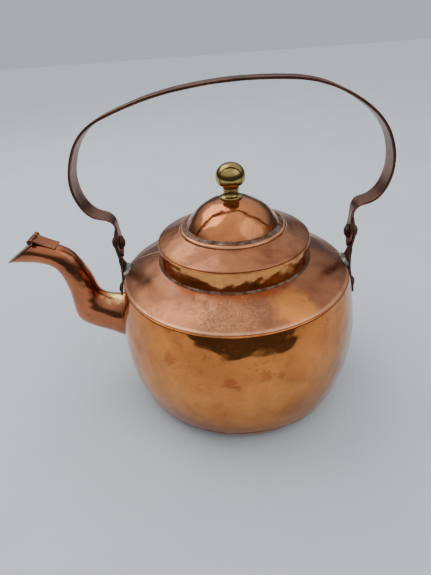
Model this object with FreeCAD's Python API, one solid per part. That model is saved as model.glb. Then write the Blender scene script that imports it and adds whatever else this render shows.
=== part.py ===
import FreeCAD, Part

# A hand-made copper stovetop kettle: round-bellied body with a creased shoulder, a soldered neck
# collar, a domed lid with a brass knob, a swan-neck spout closed by a hinged flap, and a strap
# handle that swings on two riveted ears.
# Millimetres, +Z up. The origin is the middle of the flat base. The spout points along -X, and
# the handle and the spout lie in the plane y = 0.

import math
import os

V = FreeCAD.Vector
X_AXIS = V(1, 0, 0)
Y_AXIS = V(0, 1, 0)
Z_AXIS = V(0, 0, 1)
ORIGIN = V(0, 0, 0)
QUARTER = 4.0 / 3.0 * (math.sqrt(2) - 1)    # handle length of a Bezier quarter circle

# ---- driving dimensions -------------------------------------------------------------------

# Sheet and clearances
sheet = 1.2                 # body, shoulder, collar and spout sheet
solder_film = 0.05          # film of solder between curved faces that are joined
rest_gap = 0.15             # between flat faces that part or slide
overshoot = 5.0             # how far a cutting tool runs past what it cuts

# Body
base_inset = 25.2           # how far the flat base is smaller than the belly, all round
heel_corner_inset = 8.2     # the same for the point where base plane and wall line would meet
heel_inset = 2.1
heel_h = 38.5               # top of the rounded heel
belly_h = 66.0              # height of the widest ring
belly_r = 109.2
crease_h = 123.5            # sharp fold between wall and shoulder
crease_inset = 9.2          # how far the crease is smaller than the belly, all round
crease_round = 1.3
base_seam_h = 16.0          # where the base pan is brazed into the wall

# Neck collar and shoulder
neck_r = 65.9               # outside of the collar
shoulder_rise = 12.5        # from the crease to the ledge that the collar stands on
neck_h = 17.5
neck_ledge = 1.6            # flat of the shoulder outside and inside the collar
neck_solder_leg = 1.5
shoulder_crown = 1.0        # how far the shoulder bows up between crease and neck
seam_azimuth = 171.0        # direction of the brazed shoulder seam, from +X
seam_w = 1.8
seam_depth = 0.5
seam_proud = 0.15
seam_end_gap = 1.5

# Lid
lid_lip_overlap = 0.7       # how far the lid's lip reaches over the collar's rim
lid_lip_h = 1.0
lid_lip_round = 3.9         # width of the rounded lip outside the sloping part of the plate
lid_slope_rise = 3.2        # from the collar's rim to the outer end of the slope
lid_ledge_rise = 6.5        # from there to the ledge
bead_edge = 0.2             # ledge left outside the bead
lid_hole_r = 36.0
lid_sheet = 1.2
flange_gap = 0.5            # between the lid's flange and the inside of the collar
flange_sheet = 1.0
flange_depth = 13.0
bead_r = 43.8               # centre of the half-round bead
bead_size = 2.4
dome_foot_r = 41.3
dome_sphere_r = 45.7
dome_sheet = 1.0
dome_solder_rise = 3.0

# Knob
knob_foot_r = 9.5
knob_foot_h = 1.4
knob_waist_r = 6.2
knob_waist_h = 6.6          # above the foot's edge
knob_throat_r = 9.6
knob_throat_h = 11.6
knob_ball_r = 12.2
knob_ball_half_h = 10.9
knob_ball_h = 17.9
knob_stud_r = 2.5
knob_stud_drop = 7.5
stud_gap = 0.1
knob_washer_r = 8.0
knob_washer_t = 1.0
knob_nut_across = 8.0
knob_nut_t = 3.0

# Spout: each section runs from a point on the heel line (below or outside) to a point on the crown
# line (above or inside), with a half width across.  Each point is (distance out from the belly's
# widest ring, height), and the spout leaves towards -X.
spout_sections = [
    (-16.2, 49.0, -16.2, 97.0, 18.5),
    (7.8, 52.0, 6.8, 97.2, 16.5),
    (28.8, 61.5, 15.3, 99.4, 14.2),
    (44.3, 69.3, 19.8, 103.0, 13.2),
    (48.4, 80.0, 21.8, 108.5, 12.6),
    (48.8, 104.0, 23.8, 117.5, 12.0),
    (51.0, 121.0, 28.4, 130.0, 11.2),
    (57.6, 132.4, 36.8, 144.5, 10.4),
    (69.3, 136.6, 51.8, 153.8, 10.0),
    (84.8, 138.0, 73.8, 158.6, 9.6),
    (102.8, 139.6, 98.8, 160.0, 9.4),
]
spout_station_count = 19
mouth_top = (66.4, 157.9)       # upper end of the slanting mouth
mouth_tip = (94.2, 139.2)       # tip of the beak
spout_flange_w = 3.6            # how far the saddle flange stands out round the root
spout_flange_t = 1.2

# Flap and its hinge
flap_t = 1.4
flap_overhang = 0.7
hinge_out = 68.2
hinge_z = 160.3
knuckle_r = 2.6
pin_r = 1.0
pin_run_gap = 0.10
pin_fix_gap = 0.03
hinge_half_w = 9.0
flap_knuckle_half_w = 3.2
knuckle_side_gap = 0.25
pin_head_r = 1.7
pin_head_t = 0.8
leaf_half_w = 6.5
leaf_t = 1.4
leaf_end = (48.8, 151.6)
leaf_knuckle_gap = 0.4

# Handle and ears
pivot_rise = 28.8           # pivots above the crease
strap_w = 18.0
strap_t = 2.2
leaf_inset = 0.5            # inner face of the handle's leaf ends, inside the crease's radius
ear_t = 2.2
pivot_shank_r = 2.8
pivot_run_gap = 0.10
pivot_fix_gap = 0.04
pivot_head_r = 5.6
pivot_head_h = 3.6
pivot_clench_r = 4.6
pivot_clench_h = 2.2
pivot_washer_r = 6.0
pivot_washer_t = 1.2
bail_rise = 123.6           # top of the handle above the pivots

# (share of the half span, drop below the top) along the top of the handle
bail_arch = [(-0.84, 16.1), (-0.54, 7.3), (-0.25, 2.4), (0.06, 0.0), (0.36, 0.5), (0.62, 3.7), (0.85, 12.4)]
# (outwards from the leaf ends, height above the pivots) down each side
bail_front = [(5.5, 97.6), (16.0, 87.4), (23.4, 73.7), (27.6, 57.6), (25.8, 42.4), (19.2, 31.0),
              (12.2, 26.6), (6.0, 24.6), (1.6, 20.8)]
bail_rear = [(0.6, 101.4), (13.0, 89.8), (20.8, 76.6), (25.0, 59.0), (23.2, 43.6), (17.0, 32.8),
             (10.0, 28.4), (4.2, 26.4), (0.8, 21.8)]
leaf_straight_h = 14.0      # top of the straight leaf end above the pivot

# Half widths of the handle's leaf ends against height from the pivot
leaf_tip_drop = 14.5
leaf_widths = [(-11.0, 3.0), (-5.0, 6.8), (0.0, 8.0), (6.0, 6.8), (12.0, 4.9), (17.0, 4.6), (22.0, 6.4)]
leaf_full_h = 27.0

# Half widths of the ears against height
ear_top_rise = 12.5
ear_widths = [(8.5, 4.2), (4.0, 7.2), (-0.5, 8.3), (-7.0, 7.0), (-15.0, 4.7), (-20.0, 5.2), (-26.0, 8.6),
              (-33.0, 9.6)]
ear_foot_w = 18.0
ear_foot_round = 6.0
front_ear_gap = 1.2         # the front ear stops this far above the spout's root
rear_ear_foot_drop = 32.0   # foot of the rear ear below the crease
ear_neck_h = 10.0           # above the crease, where the ear is upright again
ear_step = 0.6              # how far the ear stands off the crease

# Lower ear rivets
front_ear_rivet_rise = 6.2  # above the ear's foot
rear_ear_rivet_rise = 9.5
ear_rivet_r = 2.0
ear_rivet_gap = 0.08
ear_rivet_head_r = 5.4
ear_rivet_head_h = 3.0
ear_rivet_clench_r = 4.2
ear_rivet_clench_h = 1.8
ear_solder_half = (4.2, 11.5, 3.6)

# ---- sizes that follow ---------------------------------------------------------------------

base_flat_r = belly_r - base_inset
heel_corner_r = belly_r - heel_corner_inset
heel_r = belly_r - heel_inset
crease_r = belly_r - crease_inset
neck_foot_h = crease_h + shoulder_rise
neck_inner_r = neck_r - sheet
neck_top_h = neck_foot_h + neck_h
lid_lip_r = neck_inner_r + lid_lip_overlap
lid_slope_r = lid_lip_r - lid_lip_round
lid_slope_h = neck_top_h + lid_slope_rise
lid_ledge_r = bead_r + bead_size + bead_edge
lid_ledge_h = lid_slope_h + lid_ledge_rise
flange_r = neck_inner_r - flange_gap
dome_centre_h = lid_ledge_h - math.sqrt(dome_sphere_r ** 2 - dome_foot_r ** 2)
dome_top_h = dome_centre_h + dome_sphere_r
knob_edge_h = dome_centre_h + math.sqrt(dome_sphere_r ** 2 - knob_foot_r ** 2)
hinge_x = -(belly_r + hinge_out)
pivot_h = crease_h + pivot_rise
leaf_inner_x = crease_r - leaf_inset
leaf_mid_x = leaf_inner_x + strap_t / 2
ear_inner_x = leaf_inner_x + strap_t + rest_gap
ear_outer_x = ear_inner_x + ear_t
front_ear_foot_h = spout_sections[1][3] + front_ear_gap
rear_ear_foot_h = crease_h - rear_ear_foot_drop
front_ear_rivet_h = front_ear_foot_h + front_ear_rivet_rise
rear_ear_rivet_h = rear_ear_foot_h + rear_ear_rivet_rise


# ---- helpers -------------------------------------------------------------------------------

def at(x, z):
    """A point in the plane y = 0."""
    return V(x, 0, z)


def out_at(out, z):
    """A point in the plane y = 0 on the spout's side, by its distance out from the belly."""
    return V(-(belly_r + out), 0, z)


def line(a, b):
    return Part.LineSegment(a, b).toShape()


def arc(a, middle, b):
    return Part.Arc(a, middle, b).toShape()


def bezier(*poles):
    curve = Part.BezierCurve()
    curve.setPoles(list(poles))
    return curve.toShape()


def quarter_oval(a, corner, b):
    """A quarter of an oval from a to b, inside the corner of its two end tangents."""
    return bezier(a, a + (corner - a) * QUARTER, b + (corner - b) * QUARTER, b)


def spline(points, places=None):
    """A smooth curve through the points, at the given parameter places if there are any."""
    curve = Part.BSplineCurve()
    if places:
        curve.interpolate(points, Parameters=places)
    else:
        curve.interpolate(points)
    return curve


def chain(points):
    """Straight edges through the points, open."""
    return [line(a, b) for a, b in zip(points, points[1:])]


def ring(edges):
    """Turn a closed outline in the plane y = 0 about the Z axis."""
    face = Part.Face(Part.Wire(Part.__sortEdges__(edges)))
    return face.revolve(ORIGIN, Z_AXIS, 360)


def polygon_ring(points):
    return ring(chain(points + points[:1]))


def cylinder(radius, start, axis, length):
    return Part.makeCylinder(radius, length, start, axis)


def moved(shape, offset):
    copy = shape.copy()
    copy.translate(offset)
    return copy


def mirrored(shape):
    """The same piece on the other side of the plane x = 0."""
    return shape.mirror(ORIGIN, X_AXIS)


def fuse(shapes):
    result = shapes[0]
    for shape in shapes[1:]:
        result = result.fuse(shape)
    return result.removeSplitter()


def largest(shape):
    return max(shape.Solids, key=lambda solid: solid.Volume)


# ---- body ----------------------------------------------------------------------------------

def wall_r(height):
    """Outside radius of the belly above the heel."""
    share = (height - belly_h) / (crease_h - belly_h)
    return belly_r - (belly_r - crease_r) * share ** 2


def wall_lean(height):
    """How far the wall leans in, in degrees from upright."""
    rate = 2 * (belly_r - crease_r) * (height - belly_h) / (crease_h - belly_h) ** 2
    return math.degrees(math.atan(rate))


def body_line(inset):
    """Edges from the base flat up to the crease, moved inwards by inset."""
    middle_h = (belly_h + crease_h) / 2
    heel = bezier(
        at(base_flat_r - inset / 2, inset),
        at(heel_corner_r - inset, inset),
        at(heel_r - inset, heel_h),
    )
    lower = arc(
        at(heel_r - inset, heel_h),
        at(wall_r((heel_h + belly_h) / 2) - inset, (heel_h + belly_h) / 2),
        at(belly_r - inset, belly_h),
    )
    upper = arc(
        at(belly_r - inset, belly_h),
        at(wall_r(middle_h) - inset, middle_h),
        at(crease_r - inset, crease_h),
    )
    return [heel, lower, upper]


def body_solid(inset):
    """The closed body below the crease, as a solid."""
    edges = body_line(inset)
    edges += chain([
        at(crease_r - inset, crease_h),
        at(0, crease_h),
        at(0, inset),
        at(base_flat_r - inset / 2, inset),
    ])
    return ring(edges)


def shoulder_line(drop, outer_r, outer_h):
    """The bowed line of the shoulder, from the outer end to the ledge at the neck."""
    ledge_r = neck_r + neck_ledge
    chord_mid = at((outer_r + ledge_r) / 2, (outer_h + neck_foot_h - drop) / 2 + shoulder_crown)
    return arc(at(outer_r, outer_h), chord_mid, at(ledge_r, neck_foot_h - drop))


def body_and_shoulder(grow):
    """Everything inside the outer face of body and shoulder, grown outwards by grow."""
    edges = body_line(-grow)
    ledge_r = neck_r + neck_ledge
    edges += [shoulder_line(-grow, crease_r + grow, crease_h)]
    edges += chain([
        at(ledge_r, neck_foot_h + grow),
        at(0, neck_foot_h + grow),
        at(0, -grow),
        at(base_flat_r + grow / 2, -grow),
    ])
    return ring(edges)


def body_shell():
    below = crease_h - sheet
    block = Part.makeBox(4 * belly_r, 4 * belly_r, crease_h, V(-2 * belly_r, -2 * belly_r, below - crease_h))
    return body_solid(0).cut(body_solid(sheet)).common(block)


def half_space_above(height):
    size = 4 * belly_r
    return Part.makeBox(size, size, size, V(-size / 2, -size / 2, height))


def base_pan(shell):
    floor = body_solid(0).cut(half_space_above(sheet))
    return largest(shell.cut(half_space_above(base_seam_h)).fuse(floor).removeSplitter())


def body_wall(shell, spout_bore):
    wall = shell.common(half_space_above(base_seam_h))
    wall = wall.cut(spout_bore)
    wall = wall.cut(mirrored(ear_rivet_hole(front_ear_rivet_h)))
    wall = wall.cut(ear_rivet_hole(rear_ear_rivet_h))
    return largest(wall)


def shoulder():
    ledge_r = neck_r + neck_ledge
    hole_r = neck_inner_r - neck_ledge
    lip_h = crease_h - sheet
    rounded_r = crease_r - crease_round
    rounded_h = crease_h + crease_round * (neck_foot_h - crease_h) / (crease_r - ledge_r)
    edges = [
        line(at(crease_r - sheet, lip_h), at(crease_r, lip_h)),
        line(at(crease_r, lip_h), at(crease_r, crease_h - crease_round / 2)),
        bezier(at(crease_r, crease_h - crease_round / 2), at(crease_r, crease_h), at(rounded_r, rounded_h)),
        shoulder_line(0, rounded_r, rounded_h),
        line(at(ledge_r, neck_foot_h), at(hole_r, neck_foot_h)),
        line(at(hole_r, neck_foot_h), at(hole_r, neck_foot_h - sheet)),
        line(at(hole_r, neck_foot_h - sheet), at(ledge_r, neck_foot_h - sheet)),
        shoulder_line(sheet, crease_r - sheet, lip_h),
    ]
    return ring(edges).cut(seam_block(seam_w))


def seam_block(width):
    """A radial slab over the shoulder's brazed seam, down to the seam's depth."""
    start = neck_r + neck_solder_leg + seam_end_gap
    end = crease_r - seam_end_gap
    slab = Part.makeBox(end - start, width, neck_foot_h, V(start, -width / 2, crease_h - sheet))
    slab.rotate(ORIGIN, Z_AXIS, seam_azimuth)
    return slab.cut(body_and_shoulder(-seam_depth))


def shoulder_seam():
    return largest(seam_block(seam_w - 2 * solder_film).common(body_and_shoulder(seam_proud)))


def neck_collar():
    lip = sheet / 2
    edges = chain([
        at(neck_inner_r, neck_top_h - lip / 2),
        at(neck_inner_r, neck_foot_h),
        at(neck_r, neck_foot_h),
        at(neck_r, neck_top_h - lip),
    ])
    edges += [
        bezier(at(neck_r, neck_top_h - lip), at(neck_r, neck_top_h), at(neck_r - lip, neck_top_h)),
        line(at(neck_r - lip, neck_top_h), at(neck_inner_r + lip / 2, neck_top_h)),
        line(at(neck_inner_r + lip / 2, neck_top_h), at(neck_inner_r, neck_top_h - lip / 2)),
    ]
    return ring(edges)


def neck_solder():
    inner = neck_r + solder_film
    foot = neck_foot_h + solder_film
    edges = [
        line(at(inner, foot), at(inner + neck_solder_leg, foot)),
        line(at(inner + neck_solder_leg, foot), at(inner, foot + neck_solder_leg)),
        line(at(inner, foot + neck_solder_leg), at(inner, foot)),
    ]
    return ring(edges)


# ---- spout ---------------------------------------------------------------------------------

def spout_section(section, grow):
    """A closed oval between a heel point and a crown point, grown outwards by grow."""
    heel_out, heel_z, crown_out, crown_z, half_w = section
    heel, crown = out_at(heel_out, heel_z), out_at(crown_out, crown_z)
    centre = (heel + crown) * 0.5
    across = (crown - heel) * 0.5
    across = across * ((across.Length + grow) / across.Length)
    count = 24
    points = []
    for step in range(count):
        turn = 2 * math.pi * step / count
        points.append(centre + across * math.cos(turn) + Y_AXIS * (half_w + grow) * math.sin(turn))
    oval = Part.BSplineCurve()
    oval.interpolate(points, PeriodicFlag=True)
    return Part.Wire(oval.toShape())


def even_sections(count):
    """The spout's sections again, evenly spaced along its middle line."""
    heels = [at(section[0], section[1]) for section in spout_sections]
    crowns = [at(section[2], section[3]) for section in spout_sections]
    middles = [(heel + crown) * 0.5 for heel, crown in zip(heels, crowns)]
    places = [0.0]
    for a, b in zip(middles, middles[1:]):
        places.append(places[-1] + (b - a).Length)
    half_ws = [V(section[4], 0, 0) for section in spout_sections]
    heel_line, crown_line, width_line = [spline(points, places) for points in (heels, crowns, half_ws)]
    result = []
    for step in range(count):
        place = places[-1] * step / (count - 1)
        heel, crown, width = heel_line.value(place), crown_line.value(place), width_line.value(place)
        result.append((heel.x, heel.z, crown.x, crown.z, width.x))
    return result


def spout_form(grow):
    wires = [spout_section(section, grow) for section in even_sections(spout_station_count)]
    return Part.makeLoft(wires, True, False)


def mouth_way():
    """Unit vector from the mouth's upper end to the tip, and the outward normal of the mouth."""
    along = out_at(*mouth_tip) - out_at(*mouth_top)
    along.normalize()
    normal = Y_AXIS.cross(along)
    if normal.z < 0:
        normal = normal * -1
    return along, normal


def mouth_slab(low, high):
    """A wide slab parallel to the mouth, between two heights above it."""
    along, normal = mouth_way()
    top, tip = out_at(*mouth_top), out_at(*mouth_tip)
    middle = (top + tip) * 0.5
    half = 8 * knuckle_r + (top - tip).Length
    corner = middle - along * half - Y_AXIS * half + normal * low
    corners = [corner, corner + along * 2 * half, corner + along * 2 * half + Y_AXIS * 2 * half,
               corner + Y_AXIS * 2 * half]
    face = Part.Face(Part.makePolygon(corners + corners[:1]))
    return face.extrude(normal * (high - low))


def spout(outer, bore):
    cutter = mouth_slab(0, 6 * hinge_half_w)
    pipe = outer.cut(bore).cut(body_and_shoulder(solder_film)).cut(cutter)
    return largest(pipe)


def spout_flange(front_ear):
    """The saddle that the root is brazed to: it hugs the wall all round the root."""
    root = spout_sections[0]
    rim = (root[0], root[1] - 1.0, root[2], root[3] + 1.0, root[4])
    near = spout_section(rim, spout_flange_w)
    far = spout_section(rim, spout_flange_w - 1.5)
    far.translate(at(root[0] - 2 * spout_flange_w, 0))
    plug = Part.makeLoft([near, far], True, True)
    saddle = plug.common(body_and_shoulder(solder_film + spout_flange_t))
    saddle = saddle.cut(body_and_shoulder(solder_film)).cut(spout_form(solder_film))
    return largest(saddle.cut(front_ear))


# ---- flap and hinge ------------------------------------------------------------------------

def knuckle(y0, y1, bore):
    centre = V(hinge_x, y0, hinge_z)
    tube = cylinder(knuckle_r, centre, Y_AXIS, y1 - y0)
    return tube.cut(cylinder(bore, centre, Y_AXIS, y1 - y0))


def knuckle_clearance(y0, y1):
    return cylinder(knuckle_r + leaf_knuckle_gap, V(hinge_x, y0, hinge_z), Y_AXIS, y1 - y0)


def spout_flap():
    plate = spout_form(flap_overhang).common(mouth_slab(rest_gap, rest_gap + flap_t))
    plate = largest(plate)
    outer_y = flap_knuckle_half_w + knuckle_side_gap
    for y0 in (-hinge_half_w - overshoot, outer_y - knuckle_side_gap):
        plate = plate.cut(knuckle_clearance(y0, y0 + hinge_half_w + overshoot - flap_knuckle_half_w))
    hinge_end = V(hinge_x, -hinge_half_w, hinge_z)
    plate = plate.cut(cylinder(knuckle_r - flap_t / 2, hinge_end, Y_AXIS, 2 * hinge_half_w))
    barrel = knuckle(-flap_knuckle_half_w, flap_knuckle_half_w, pin_r + pin_run_gap)
    return largest(fuse([plate, barrel]))


def hinge_leaf():
    """Strap soldered along the spout's crown, with the two outer knuckles."""
    back = out_at(*leaf_end)
    front = at(hinge_x + knuckle_r / 2, hinge_z)
    rise = front - back
    normal = rise.cross(Y_AXIS)
    normal.normalize()
    if normal.z < 0:
        normal = normal * -1
    middle = (back + front) * 0.5 - normal * 0.4
    outline = [
        arc(back, middle, front),
        line(front, front + normal * leaf_t),
        arc(front + normal * leaf_t, middle + normal * leaf_t, back + normal * leaf_t),
        line(back + normal * leaf_t, back),
    ]
    strap = Part.Face(Part.Wire(outline)).extrude(Y_AXIS * 2 * leaf_half_w)
    strap.translate(Y_AXIS * -leaf_half_w)
    inner_y = flap_knuckle_half_w + knuckle_side_gap
    strap = strap.cut(knuckle_clearance(-inner_y, inner_y))
    pin_way = pin_r + pin_fix_gap
    strap = strap.cut(cylinder(pin_way, V(hinge_x, -hinge_half_w, hinge_z), Y_AXIS, 2 * hinge_half_w))
    knuckles = [knuckle(y0, y0 + hinge_half_w - inner_y, pin_way) for y0 in (-hinge_half_w, inner_y)]
    return largest(fuse([strap] + knuckles).cut(spout_form(solder_film)))


def hinge_pin():
    length = 2 * hinge_half_w + 2 * rest_gap
    start = V(hinge_x, -length / 2, hinge_z)
    shaft = cylinder(pin_r, start, Y_AXIS, length)
    heads = [
        cylinder(pin_head_r, start - Y_AXIS * pin_head_t, Y_AXIS, pin_head_t),
        cylinder(pin_head_r, start + Y_AXIS * length, Y_AXIS, pin_head_t),
    ]
    return fuse([shaft] + heads)


# ---- handle, ears and rivets ---------------------------------------------------------------

def strap_prism(middle, thickness, width):
    """A strap of even thickness that follows a curve in the plane y = 0."""
    count = 160
    first, last = middle.FirstParameter, middle.LastParameter
    one_side, other_side = [], []
    for step in range(count + 1):
        t = first + (last - first) * step / count
        tangent = V(*middle.tangent(t)[0])
        across = V(-tangent.z, 0, tangent.x) * (thickness / 2)
        one_side.append(middle.value(t) + across)
        other_side.append(middle.value(t) - across)
    edges = [
        spline(one_side).toShape(),
        line(one_side[-1], other_side[-1]),
        spline(other_side[::-1]).toShape(),
        line(other_side[0], one_side[0]),
    ]
    prism = Part.Face(Part.Wire(edges)).extrude(Y_AXIS * width)
    prism.translate(Y_AXIS * (-width / 2))
    return prism


def side_profile(widths, tip_low, tip_high, reach):
    """A slab along X whose outline is given by half widths against height; an end with no tip is flat."""
    low = [V(-reach, 0, tip_low)] if tip_low is not None else []
    high = [V(-reach, 0, tip_high)] if tip_high is not None else []
    near = [V(-reach, -half_w, height) for height, half_w in sorted(widths)]
    far = [V(-reach, half_w, height) for height, half_w in sorted(widths)]
    edges = [spline(low + near + high).toShape(), spline(low + far + high).toShape()]
    if not high:
        edges.append(line(near[-1], far[-1]))
    if not low:
        edges.append(line(near[0], far[0]))
    return Part.Face(Part.Wire(Part.__sortEdges__(edges))).extrude(X_AXIS * 2 * reach)


def handle_strap():
    """One forged strap: a tall arch whose ends turn in, narrow and spread into leaves."""
    top = pivot_h + bail_rise
    front = [at(-leaf_mid_x - out, pivot_h + up) for out, up in bail_front]
    rear = [at(leaf_mid_x + out, pivot_h + up) for out, up in bail_rear]
    arch = [at(share * leaf_mid_x, top - drop) for share, drop in bail_arch]
    straight_z = pivot_h + leaf_straight_h
    foot_z = pivot_h - leaf_tip_drop
    uprights = [foot_z + (straight_z - foot_z) * share for share in (0, 1 / 3, 2 / 3, 1)]
    front = front + [at(-leaf_mid_x, z) for z in uprights[::-1]]
    rear = rear + [at(leaf_mid_x, z) for z in uprights[::-1]]
    strap = strap_prism(spline(front[::-1] + arch + rear), strap_t, strap_w)
    widths = [(pivot_h + up, half_w) for up, half_w in leaf_widths]
    ends = side_profile(widths + [(pivot_h + leaf_full_h, strap_w / 2)], foot_z, None, 2 * leaf_mid_x)
    above = Part.makeBox(4 * leaf_mid_x, strap_w, 2 * bail_rise,
                         V(-2 * leaf_mid_x, -strap_w / 2, pivot_h + leaf_full_h))
    strap = strap.common(ends.fuse(above))
    hole = cylinder(pivot_shank_r + pivot_run_gap, V(-2 * leaf_mid_x, 0, pivot_h), X_AXIS, 4 * leaf_mid_x)
    return largest(strap.cut(hole).removeSplitter())


def rear_side_ear(foot_h, rivet_h):
    """Strap riveted and soldered down the outside of the wall, rising to a leaf at the pivot."""
    half = ear_t / 2
    top_z = pivot_h + ear_top_rise
    wall_heights = [foot_h - overshoot, (foot_h + crease_h) / 2 - overshoot, crease_h - overshoot]
    points = [at(wall_r(z) + half, z) for z in wall_heights]
    points += [at(crease_r + half + ear_step, crease_h + 1)]
    upright_z = crease_h + ear_neck_h
    points += [at(ear_inner_x + half, z) for z in (upright_z, pivot_h, top_z + overshoot)]
    ear = strap_prism(spline(points), ear_t, strap_w + overshoot)
    widths = [(pivot_h + up, half_w) for up, half_w in ear_widths]
    low_z = min(height for height, _ in widths)
    head = side_profile(widths, None, top_z, 2 * leaf_mid_x)
    foot = Part.makeBox(4 * leaf_mid_x, ear_foot_w, low_z - foot_h,
                        V(-2 * leaf_mid_x, -ear_foot_w / 2, foot_h))
    corners = [edge for edge in foot.Edges if edge.BoundBox.ZMax < foot_h + overshoot / 2
               and edge.BoundBox.XLength > leaf_mid_x]
    ear = ear.common(head.fuse(foot.makeFillet(ear_foot_round, corners)))
    ear = ear.cut(body_and_shoulder(solder_film)).cut(ear_rivet_hole(rivet_h))
    for x in (ear_inner_x - overshoot, ear_outer_x):
        ear = ear.cut(Part.makeBox(overshoot, 2 * strap_w, 2 * strap_w, V(x, -strap_w, upright_z)))
    hole = cylinder(pivot_shank_r + pivot_fix_gap, V(leaf_inner_x, 0, pivot_h), X_AXIS, 4 * ear_t)
    return largest(ear.cut(hole))


def turned_rivet(shank_r, shank_length, head_r, head_h, clench_r, clench_h):
    """A rivet along +X: its shank starts at x = 0, with the clenched end below and the head above."""
    end = shank_length
    edges = [
        quarter_oval(V(-clench_h, 0, 0), V(-clench_h, 0, clench_r), V(0, 0, clench_r)),
        line(V(0, 0, clench_r), V(0, 0, shank_r)),
        line(V(0, 0, shank_r), V(end, 0, shank_r)),
        line(V(end, 0, shank_r), V(end, 0, head_r)),
        quarter_oval(V(end, 0, head_r), V(end + head_h, 0, head_r), V(end + head_h, 0, 0)),
        line(V(end + head_h, 0, 0), V(-clench_h, 0, 0)),
    ]
    return Part.Face(Part.Wire(edges)).revolve(ORIGIN, X_AXIS, 360)


def rear_pivot_rivet():
    washer_x = leaf_inner_x - rest_gap - pivot_washer_t
    rivet = turned_rivet(pivot_shank_r, ear_outer_x - washer_x, pivot_head_r, pivot_head_h,
                         pivot_clench_r, pivot_clench_h)
    return moved(rivet, at(washer_x, pivot_h))


def rear_pivot_washer():
    start = at(leaf_inner_x - rest_gap - pivot_washer_t, pivot_h)
    washer = cylinder(pivot_washer_r, start, X_AXIS, pivot_washer_t)
    return washer.cut(cylinder(pivot_shank_r + pivot_fix_gap, start, X_AXIS, pivot_washer_t))


def square_to_wall(shape, height):
    """Stand a piece made along +X square to the rear of the wall at a height."""
    copy = shape.copy()
    copy.rotate(ORIGIN, Y_AXIS, -wall_lean(height))
    copy.translate(at(wall_r(height), height))
    return copy


def ear_rivet_hole(height):
    tool = cylinder(ear_rivet_r + ear_rivet_gap, V(-2 * overshoot, 0, 0), X_AXIS, 4 * overshoot)
    return square_to_wall(tool, height)


def ear_rivet(height):
    inside = sheet + 2 * ear_rivet_gap
    outside = ear_t + solder_film + 2 * ear_rivet_gap
    rivet = turned_rivet(ear_rivet_r, inside + outside, ear_rivet_head_r, ear_rivet_head_h,
                         ear_rivet_clench_r, ear_rivet_clench_h)
    return square_to_wall(moved(rivet, V(-inside, 0, 0)), height)


def rear_ear_solder(ear):
    """Tin run in behind the ear, where it crosses the crease."""
    along_x, along_y, along_z = ear_solder_half
    ball = Part.makeSphere(1.0)
    stretch = FreeCAD.Matrix()
    stretch.scale(along_x, along_y, along_z)
    pad = ball.transformGeometry(stretch)
    pad.translate(at(crease_r - along_x / 3, crease_h + sheet / 2))
    pad = pad.cut(body_and_shoulder(solder_film))
    outside = Part.makeBox(2 * overshoot, 4 * along_y, 4 * along_z,
                           V(crease_r + sheet, -2 * along_y, crease_h - 2 * along_z))
    return largest(pad.cut(outside).cut(ear))


# ---- lid -----------------------------------------------------------------------------------

def lid_plate():
    rim_h = neck_top_h + rest_gap
    slope = (lid_ledge_h - lid_slope_h) / (lid_slope_r - lid_ledge_r)
    lip_top = at(lid_lip_r, rim_h + lid_lip_h)
    lip_corner = at(lid_lip_r, lid_slope_h - slope * (lid_lip_r - lid_slope_r))
    seat_r = flange_r
    under_h = lid_slope_h - lid_sheet - slope * (seat_r - lid_slope_r) * 0.5
    ledge_under = at(lid_ledge_r - lid_sheet / 2, lid_ledge_h - lid_sheet)
    edges = [
        line(at(lid_hole_r, lid_ledge_h), at(lid_ledge_r, lid_ledge_h)),
        line(at(lid_ledge_r, lid_ledge_h), at(lid_slope_r, lid_slope_h)),
        bezier(at(lid_slope_r, lid_slope_h), lip_corner, lip_top),
        line(lip_top, at(lid_lip_r, rim_h)),
        line(at(lid_lip_r, rim_h), at(seat_r, rim_h)),
        line(at(seat_r, rim_h), at(seat_r, under_h - lid_sheet / 2)),
        line(at(seat_r, under_h - lid_sheet / 2), at(lid_slope_r - lid_sheet, lid_slope_h - lid_sheet)),
        line(at(lid_slope_r - lid_sheet, lid_slope_h - lid_sheet), ledge_under),
        line(ledge_under, at(lid_hole_r, lid_ledge_h - lid_sheet)),
        line(at(lid_hole_r, lid_ledge_h - lid_sheet), at(lid_hole_r, lid_ledge_h)),
    ]
    return ring(edges)


def lid_flange(plate):
    """Ring that drops inside the collar and centres the lid."""
    low = neck_top_h - flange_depth
    inner = flange_r - flange_sheet
    tube = polygon_ring([at(inner, low), at(flange_r, low),
                         at(flange_r, lid_slope_h), at(inner, lid_slope_h)])
    return min(tube.cut(plate).Solids, key=lambda solid: solid.BoundBox.ZMin)


def lid_bead():
    return ring([
        line(at(bead_r - bead_size, lid_ledge_h), at(bead_r + bead_size, lid_ledge_h)),
        arc(at(bead_r + bead_size, lid_ledge_h), at(bead_r, lid_ledge_h + bead_size),
            at(bead_r - bead_size, lid_ledge_h)),
    ])


def dome_shell(radius):
    return Part.makeSphere(radius, at(0, dome_centre_h))


def lid_dome():
    shell = dome_shell(dome_sphere_r).cut(dome_shell(dome_sphere_r - dome_sheet))
    shell = shell.common(half_space_above(lid_ledge_h))
    return largest(shell.cut(stud_hole()))


def stud_hole():
    return cylinder(knob_stud_r + stud_gap, at(0, dome_centre_h), Z_AXIS, 2 * dome_sphere_r)


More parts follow.
